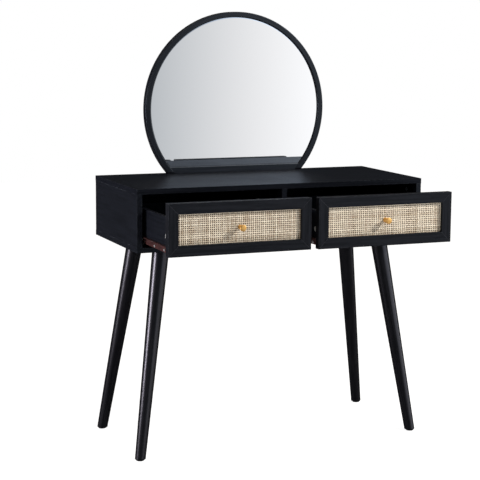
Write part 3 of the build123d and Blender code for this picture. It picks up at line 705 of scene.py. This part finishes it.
outline = ring_outline()
ring_grid = ring_points(outline, RING_STEPS)
ring_faces = grid_faces(RING_STEPS, len(outline), wrap=True)
first_end = np.arange(len(outline))[::-1]
last_end = np.arange(len(outline)) + (RING_STEPS - 1) * len(outline)
ring_all = [*ring_faces.tolist(), first_end.tolist(), last_end.tolist()]
add_piece("mirror_ring", ring_grid, ring_all, "table", "mirror_frame", frame_finish())

# %% [markdown]
# ## Silvered glass and what is behind it
#
# A mirror is clear glass with a coat of silver on its back. The silver does the work, so the finish
# is a metal with almost no roughness. A polished bevel runs round the edge, and its glint is painted
# as a paler ring of silver. Faint wiping marks make the reflection slightly softer in places. Behind
# the glass is a plain fibre board.

# %% Glass and backing
SILVER = paint(0.915, 0.925, 0.930)
SILVER_BEVEL_GLINT = paint(0.955, 0.965, 0.965)
# a painted highlight: the bevel's glint is a paler ring of silver between these two distances
GLINT_START = 3.2 * MM  # the bevel's tone starts this far in from the frame's inner edge
GLINT_FULL = 2.6 * MM  # and is full this far in
BACKING_PALE = paint(0.27, 0.18, 0.11)
BACKING_DARK = paint(0.15, 0.095, 0.055)


def glass_finish():
    """Silver under clean glass: the bevelled rim is painted paler as the bevel's glint, and cloudy wiping
    marks raise the roughness a little."""
    finish = Finish("silvered_glass")
    east = finish.part(finish.place, X_WAY) - (frame_low.x + frame_high.x) / 2
    height = finish.part(finish.place, Z_WAY) - ring_middle_z
    radius = (east * east + height * height) ** 0.5
    # painted highlight: where the bevel glints, the silver is paler
    bevel_glint = radius.rise(ring_radius - FRAME_FACE - GLINT_START, ring_radius - FRAME_FACE - GLINT_FULL)
    wiped = grain(finish, (X_WAY + Z_WAY * 0.4).normalized(), 0.02, 0.16, 3.0)
    colour = finish.blend(bevel_glint, SILVER, SILVER_BEVEL_GLINT)
    roughness = 0.008 + wiped.rise(0.45, 0.75) * 0.02
    return finish.shade(base_color=colour, metallic=1.0, roughness=roughness)


def board_finish(name, pale, dark, size=0.0016):
    """Bare fibre board: short fibres of two tones, slightly fuzzy to the touch."""
    finish = Finish(name)
    fibres = grain(finish, (X_WAY + Z_WAY * 0.2).normalized(), size, size * 5, 3.0)
    patches = cloud(finish, 0.05, 3.0)
    tone = fibres.rise(0.3, 0.7) * 0.7 + patches * 0.3
    colour = finish.blend(tone, dark, pale)
    normal = finish.bump(fibres, 0.00008)
    return finish.shade(base_color=colour, roughness=0.75 + fibres * 0.2, normal=normal)


wear_finish(["mirror_glass"], glass_finish())
wear_finish(["mirror_backing"], board_finish("mirror_back_board", BACKING_PALE, BACKING_DARK))
print("the glass is", round(2 * (ring_radius - FRAME_FACE), 4), "metres across inside its frame")

# %% [markdown]
# ## Metal, enamel and plastic
#
# The fittings are small but each has its own skin. Zinc plate on steel has a fine crystal sparkle
# and dull spots. Drawer runners are dipped in red-brown enamel and wear bright along their folds.
# The leg plates, and the straps that tie the mirror to the table, have black powder coating with a
# fine orange-peel texture. Rollers and glides are moulded plastic. The tan board behind the cane is
# bare fibre board, painted far darker than its tan as painted shade in the holes of the weave.

# %% Finish the fittings
ZINC_PALE = paint(0.72, 0.72, 0.70)
ZINC_DULL = paint(0.36, 0.36, 0.35)
ENAMEL = paint(0.060, 0.018, 0.016)
ENAMEL_DARK = paint(0.022, 0.008, 0.008)
STEEL = paint(0.45, 0.44, 0.42)
POWDER = paint(0.012, 0.012, 0.013)
POWDER_GREY = paint(0.030, 0.030, 0.031)
NYLON = paint(0.66, 0.64, 0.58)
NYLON_WORN = paint(0.38, 0.36, 0.31)
GLIDE = paint(0.010, 0.010, 0.011)
GLIDE_SCUFFED = paint(0.050, 0.048, 0.045)
# the cane's tan backing, painted far darker than its tan as the shade seen through the weave's holes
TAN_SHADED_PALE = paint(0.075, 0.042, 0.022)
TAN_SHADED_DARK = paint(0.040, 0.022, 0.012)
TAN_FIBRE = 0.0011


def zinc_finish():
    """Zinc plate: crystals a millimetre wide that differ in tone and gloss, with dull stained patches."""
    finish = Finish("zinc_plate")
    crystals = cloud(finish, 0.0009, 1.0)
    stains = cloud(finish, 0.006, 3.0).rise(0.45, 0.7)
    colour = finish.blend(crystals * 0.4 + stains * 0.6, ZINC_PALE, ZINC_DULL)
    roughness = 0.22 + crystals * 0.15 + stains * 0.15
    normal = finish.bump(crystals, 0.00002)
    return finish.shade(base_color=colour, metallic=0.55, roughness=roughness, normal=normal)


def enamel_finish(name, box):
    """Enamel over steel: runny thick and thin patches, and bare steel where rollers and folds have worn
    through."""
    finish = Finish(name)
    runs = grain(finish, Z_WAY, 0.004, 0.012, 3.0)
    edge = edge_distance(finish, *box).fall(0.0001, 0.0012)
    bare = edge * grain(finish, Y_WAY, 0.0015, 0.02, 3.0).rise(0.52, 0.66)
    colour = finish.blend(runs.rise(0.3, 0.7), ENAMEL_DARK, ENAMEL)
    colour = finish.blend(bare, colour, STEEL)
    normal = finish.bump(runs, 0.0001)
    return finish.shade(base_color=colour, metallic=bare, roughness=0.32 + runs * 0.15, normal=normal)


def powder_finish():
    """Black powder coat: an even orange peel, paler on its crests."""
    finish = Finish("black_powder_coat")
    peel = cloud(finish, 0.0012, 1.0)
    scuffs = grain(finish, X_WAY, 0.002, 0.03, 3.0).rise(0.62, 0.72)
    colour = finish.blend(peel * 0.5 + scuffs * 0.5, POWDER, POWDER_GREY)
    normal = finish.bump(peel, 0.00006)
    return finish.shade(base_color=colour, roughness=0.42 + peel * 0.15, normal=normal)


def plastic_finish(name, clean, worn, size):
    """Moulded plastic: a fine even texture with worn or scuffed patches."""
    finish = Finish(name)
    texture = cloud(finish, 0.0006, 1.0)
    scuffs = cloud(finish, size, 4.0).rise(0.50, 0.68)
    colour = finish.blend(scuffs * 0.6, clean, worn)
    normal = finish.bump(texture, 0.00003)
    return finish.shade(base_color=colour, roughness=0.35 + texture * 0.1 + scuffs * 0.2, normal=normal)


def nodes_with_slot(slot):
    """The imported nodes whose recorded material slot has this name."""
    return [part["node"] for part in frame["record"]["subparts"] if part["material_slot"] == slot]


wear_finish(nodes_with_slot("zinc"), zinc_finish())
wear_finish(nodes_with_slot("black_steel"), powder_finish())
wear_finish(nodes_with_slot("roller_nylon"), plastic_finish("roller_nylon", NYLON, NYLON_WORN, 0.004))
wear_finish(nodes_with_slot("glide_plastic"), plastic_finish("glide_plastic", GLIDE, GLIDE_SCUFFED, 0.003))
# the backing's dark tone is painted shade in the holes of the weave
wear_finish(nodes_with_slot("tan_board"), board_finish("cane_back_board_shaded", TAN_SHADED_PALE, TAN_SHADED_DARK, TAN_FIBRE))
for node in nodes_with_slot("runner_enamel"):
    wear_finish([node], enamel_finish(node + "_enamel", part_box(node)))
print("zinc pieces:", nodes_with_slot("zinc"))

# %% [markdown]
# ## The legs
#
# Each leg is turned on a lathe to a slender cone and stands splayed towards its own corner. The
# packed leg already has that shape, so only its lacquer is made here. The faint marks in the
# lacquer follow the wood's grain, which runs along the leg. So the leg's axis is needed: it goes
# from the foot's middle to the head's middle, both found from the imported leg's box.

# %% Lacquer the legs
HEAD_RADIUS = 24.5 * MM
FOOT_RADIUS = 15.5 * MM
for corner in ("front_left", "front_right", "back_left", "back_right"):
    low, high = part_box("leg_" + corner)
    run_x = (high.x - low.x - HEAD_RADIUS - FOOT_RADIUS) * (1 if corner.endswith("left") else -1)
    run_y = (high.y - low.y - HEAD_RADIUS - FOOT_RADIUS) * (1 if corner.startswith("front") else -1)
    axis = Vector((run_x, run_y, high.z - low.z)).normalized()
    wear_finish(["leg_" + corner], lacquer_finish(f"leg_{corner}_lacquer", axis, (low, high)))
    print(corner, "leg leans", round(math.degrees(axis.angle(Z_WAY)), 2), "degrees")

# %% [markdown]
# ## Woven cane
#
# The panel of each drawer front is a sheet of open cane: flat strands run up and across and pass
# over and under one another. A weaver works it on a loom, and the maker glues the sheet to a thin
# board. A picture of a weave would look flat from the side, so every strand is a real ribbon here.
# A strand's middle line swings forward and back as a cosine with one half wave in each crossing. Up
# strands and across strands swing the opposite way, so that they pass each other. Each strand
# carries its own tone, and the noise that mottles it runs along the strand.

# %% Weave the strands
PITCH = 6.0 * MM
STRAND_WIDTH = 2.85 * MM
STRAND_THICKNESS = 0.75 * MM
SWING = 0.42 * MM
SAMPLES = 4  # points along a strand in each crossing
SECTION = 6  # points round a strand
MISPLACED = 0.12 * MM  # how far a strand stands off its place, as a standard deviation
UNEVEN = 0.06  # the same for its width, as a share
DRIFT = 0.10 * MM  # a slow sideways wave along each strand
DRIFT_WAVE = (0.06, 0.02)  # its least length in metres, and what chance may add


def strands(count, pitch, other_count, other_pitch, swing, random):
    """Points of count ribbons side by side, as arrays (strand, along, round, 3) of side, forward and
    along places. Side is the strand's place, with a small error of its own and a slow drift, plus half
    its width times the cosine of the turn. Forward is the swing times the cosine of pi times (along /
    other pitch - 1/2 + strand number), plus half the thickness times the turn's sine."""
    steps = other_count * SAMPLES + 1
    number = np.arange(count)[:, None, None]
    along = np.linspace(0.0, other_count * other_pitch, steps)[None, :, None]
    turn = np.linspace(0.0, 2 * np.pi, SECTION, endpoint=False)[None, None, :]
    wander = random.normal(0.0, MISPLACED, (count, 1, 1))
    width = STRAND_WIDTH * (1 + random.normal(0.0, UNEVEN, (count, 1, 1)))
    drift_length = DRIFT_WAVE[0] + DRIFT_WAVE[1] * random.random((count, 1, 1))
    slow = DRIFT * np.sin(2 * np.pi * along / drift_length + number)
    side = (number + 0.5) * pitch + wander + slow + width / 2 * np.cos(turn)
    wave = swing * np.cos(np.pi * (along / other_pitch - 0.5 + number))
    forward = wave + STRAND_THICKNESS / 2 * np.sin(turn)
    side, forward, along, turn = np.broadcast_arrays(side, forward, along, turn)
    tone = np.broadcast_to(random.random((count, 1, 1)), side.shape)
    marks = np.stack((np.cos(turn), along + number * 0.7, tone), axis=-1)
    return np.stack((side, forward, along), axis=-1), marks


def ribbon_faces(count, steps):
    """Grid faces of one ribbon with its two ends closed, repeated for every ribbon at its own first
    point."""
    one = grid_faces(steps, SECTION, wrap=True)
    starts = np.arange(count) * steps * SECTION
    sides = (one[None] + starts[:, None, None]).reshape(-1, 4)
    ends = np.stack((np.arange(SECTION)[::-1], np.arange(SECTION) + (steps - 1) * SECTION))
    caps = (ends[None] + starts[:, None, None]).reshape(-1, SECTION)
    return sides, caps


def weave(side, seed):
    """The woven sheet of one drawer: up strands first, then across strands, in the place of the plain
    sheet."""
    node = f"{side}_drawer_rattan"
    low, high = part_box(node)
    random = np.random.default_rng(seed)
    columns = round((high.x - low.x) / PITCH)
    rows = round((high.z - low.z) / PITCH)
    pitch_x, pitch_z = (high.x - low.x) / columns, (high.z - low.z) / rows
    up, up_marks = strands(columns, pitch_x, rows, pitch_z, SWING, random)
    level, level_marks = strands(rows, pitch_z, columns, pitch_x, -SWING, random)
    middle = (low.y + high.y) / 2
    corner = np.array((low.x, middle, low.z))
    up_points = corner + up
    level_points = corner + level[..., [2, 1, 0]]
    offset = up_points.size // 3
    faces = []
    for group in ribbon_faces(columns, rows * SAMPLES + 1):
        faces += group.tolist()
    for group in ribbon_faces(rows, columns * SAMPLES + 1):  # side and along are swapped, so these turn
        faces += np.flip(group + offset, axis=1).tolist()
    points = np.concatenate((up_points.reshape(-1, 3), level_points.reshape(-1, 3)))
    marks = np.concatenate((up_marks.reshape(-1, 3), level_marks.reshape(-1, 3)))
    piece = add_piece(f"{side}_cane_weave", points, faces, f"{side}_drawer", node, cane)
    strand = piece.data.attributes.new("strand", "FLOAT_VECTOR", "POINT")
    strand.data.foreach_set("vector", marks.astype(np.float32).ravel())


CANE_CREAM = paint(0.93, 0.83, 0.67)
CANE_STRAW = paint(0.46, 0.355, 0.245)
CANE_BROWN = paint(0.30, 0.17, 0.08)


def cane_finish():
    """Cane: cream to straw by strand, mottled along its length, with fine fibres and a dull waxy shine."""
    finish = Finish("cane")
    strand = finish.node("ShaderNodeAttribute", {"attribute_name": "strand"}, output="Vector")
    over, along, tone = (finish.part(strand, way) for way in (X_WAY, Y_WAY, Z_WAY))
    fibres = finish.noise(finish.vector(over * 4.0, along / 0.012, tone * 50.0), 3.0)
    mottle = finish.noise(finish.vector(over * 0.4, along / 0.025, tone * 80.0), 3.0)
    share = tone * 0.75 + mottle.rise(0.35, 0.7) * 0.35 + fibres * 0.1 - 0.1
    colour = finish.blend(share.larger(0.0).smaller(1.0), CANE_CREAM, CANE_STRAW)
    patch = cloud(finish, 0.035, 3.0).rise(0.56, 0.72)
    stain = mottle.rise(0.60, 0.74) * 0.40 + fibres.rise(0.60, 0.72) * 0.20 + patch * 0.30
    colour = finish.blend(stain, colour, CANE_BROWN)
    roughness = 0.42 + fibres * 0.2
    normal = finish.bump(fibres, 0.00012)
    return finish.shade(base_color=colour, roughness=roughness, normal=normal, specular_ior_level=0.4)


cane = cane_finish()
for seed, side in enumerate(SIDES):
    weave(side, seed)

# %% [markdown]
# ## The knobs
#
# A knob is turned from brass bar and given a satin gold finish. Seen along its length it has a
# small foot, a neck that flares, and a round head with a soft rim and a slightly domed face. The
# profile is a short list of stations. It is rounded by carrying a smooth curve through them, and
# spun about the knob's axis. A flat face closes each end. The tool leaves very fine rings.

# %% Spin the knobs
KNOB_TURNS = 64
KNOB_PROFILE = [  # share of the length, share of the radius
    (0.000, 0.74), (0.060, 0.74), (0.085, 0.70), (0.130, 0.56), (0.200, 0.485), (0.340, 0.455),
    (0.470, 0.475), (0.560, 0.56), (0.620, 0.72), (0.655, 0.87), (0.700, 0.965), (0.760, 1.000),
    (0.860, 1.000), (0.925, 0.975), (0.965, 0.91), (0.985, 0.80), (0.996, 0.50),
]
CURVE_STEPS = 3  # points from one station to the next


def lathe_points(stations, length, radius, turns):
    """A profile of stations (place along, distance out), spun: the point at angle a is out times (cos
    a, sin a)."""
    along, out = np.asarray(stations, float).T
    angle = np.linspace(0.0, 2 * np.pi, turns, endpoint=False)
    x = (out[:, None] * radius) * np.cos(angle)
    z = (out[:, None] * radius) * np.sin(angle)
    y = np.broadcast_to(-(along[:, None] * length), x.shape)
    return np.stack((x, y, z), axis=-1)


def smooth_profile(stations, steps):
    """More points on the same profile: a Catmull-Rom curve, the cubic through each station whose slope
    there is half the step between its two neighbours."""
    points = np.asarray(stations, float)
    padded = np.concatenate((2 * points[:1] - points[1:2], points, 2 * points[-1:] - points[-2:-1]))
    a, b, c, d = (padded[i : len(points) - 1 + i, None] for i in range(4))
    t = np.linspace(0.0, 1.0, steps, endpoint=False)[None, :, None]
    square = a - 2.5 * b + 2 * c - d / 2
    cube = 1.5 * (b - c) + (d - a) / 2
    curve = b + (c - a) / 2 * t + square * t**2 + cube * t**3
    return np.concatenate((curve.reshape(-1, 2), points[-1:]))


GOLD = paint(0.95, 0.55, 0.17)
GOLD_DEEP = paint(0.78, 0.40, 0.10)


def gold_finish(name, axis_x, axis_z):
    """Satin gold: tool rings about the axis, and a deeper tone where fingers have dulled it."""
    finish = Finish(name)
    east = finish.part(finish.place, X_WAY) - axis_x
    height = finish.part(finish.place, Z_WAY) - axis_z
    radius = (east * east + height * height) ** 0.5
    depth = finish.part(finish.place, Y_WAY)
    rings = finish.noise(finish.vector(radius / 0.00035, depth / 0.0006, 0.0), 2.0)
    dulled = cloud(finish, 0.005, 3.0).rise(0.42, 0.68)
    colour = finish.blend(dulled * 0.7 + rings * 0.2, GOLD, GOLD_DEEP)
    normal = finish.bump(rings, 0.00002)
    roughness = 0.28 + rings * 0.1 + dulled * 0.1
    return finish.shade(base_color=colour, metallic=0.7, roughness=roughness, normal=normal)


profile = smooth_profile(KNOB_PROFILE, CURVE_STEPS)
for side in SIDES:
    node = f"{side}_drawer_knob"
    low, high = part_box(node)
    axis_x, axis_z = (low.x + high.x) / 2, (low.z + high.z) / 2
    radius = (high.x - low.x) / 2
    spun = lathe_points(profile, high.y - low.y, radius, KNOB_TURNS) + (axis_x, high.y, axis_z)
    faces = grid_faces(len(profile), KNOB_TURNS, wrap=True).tolist()
    faces.append(list(range(KNOB_TURNS))[::-1])
    faces.append(list(range((len(profile) - 1) * KNOB_TURNS, len(profile) * KNOB_TURNS)))
    gold = gold_finish(f"{side}_knob_gold", axis_x, axis_z)
    add_piece(f"{side}_turned_knob", spun, faces, f"{side}_drawer", node, gold)

# %% [markdown]
# ## Finish
#
# The last step brings the scene up to date, so that every piece stands in its place.

# %% Bring the scene up to date
bpy.context.view_layer.update()
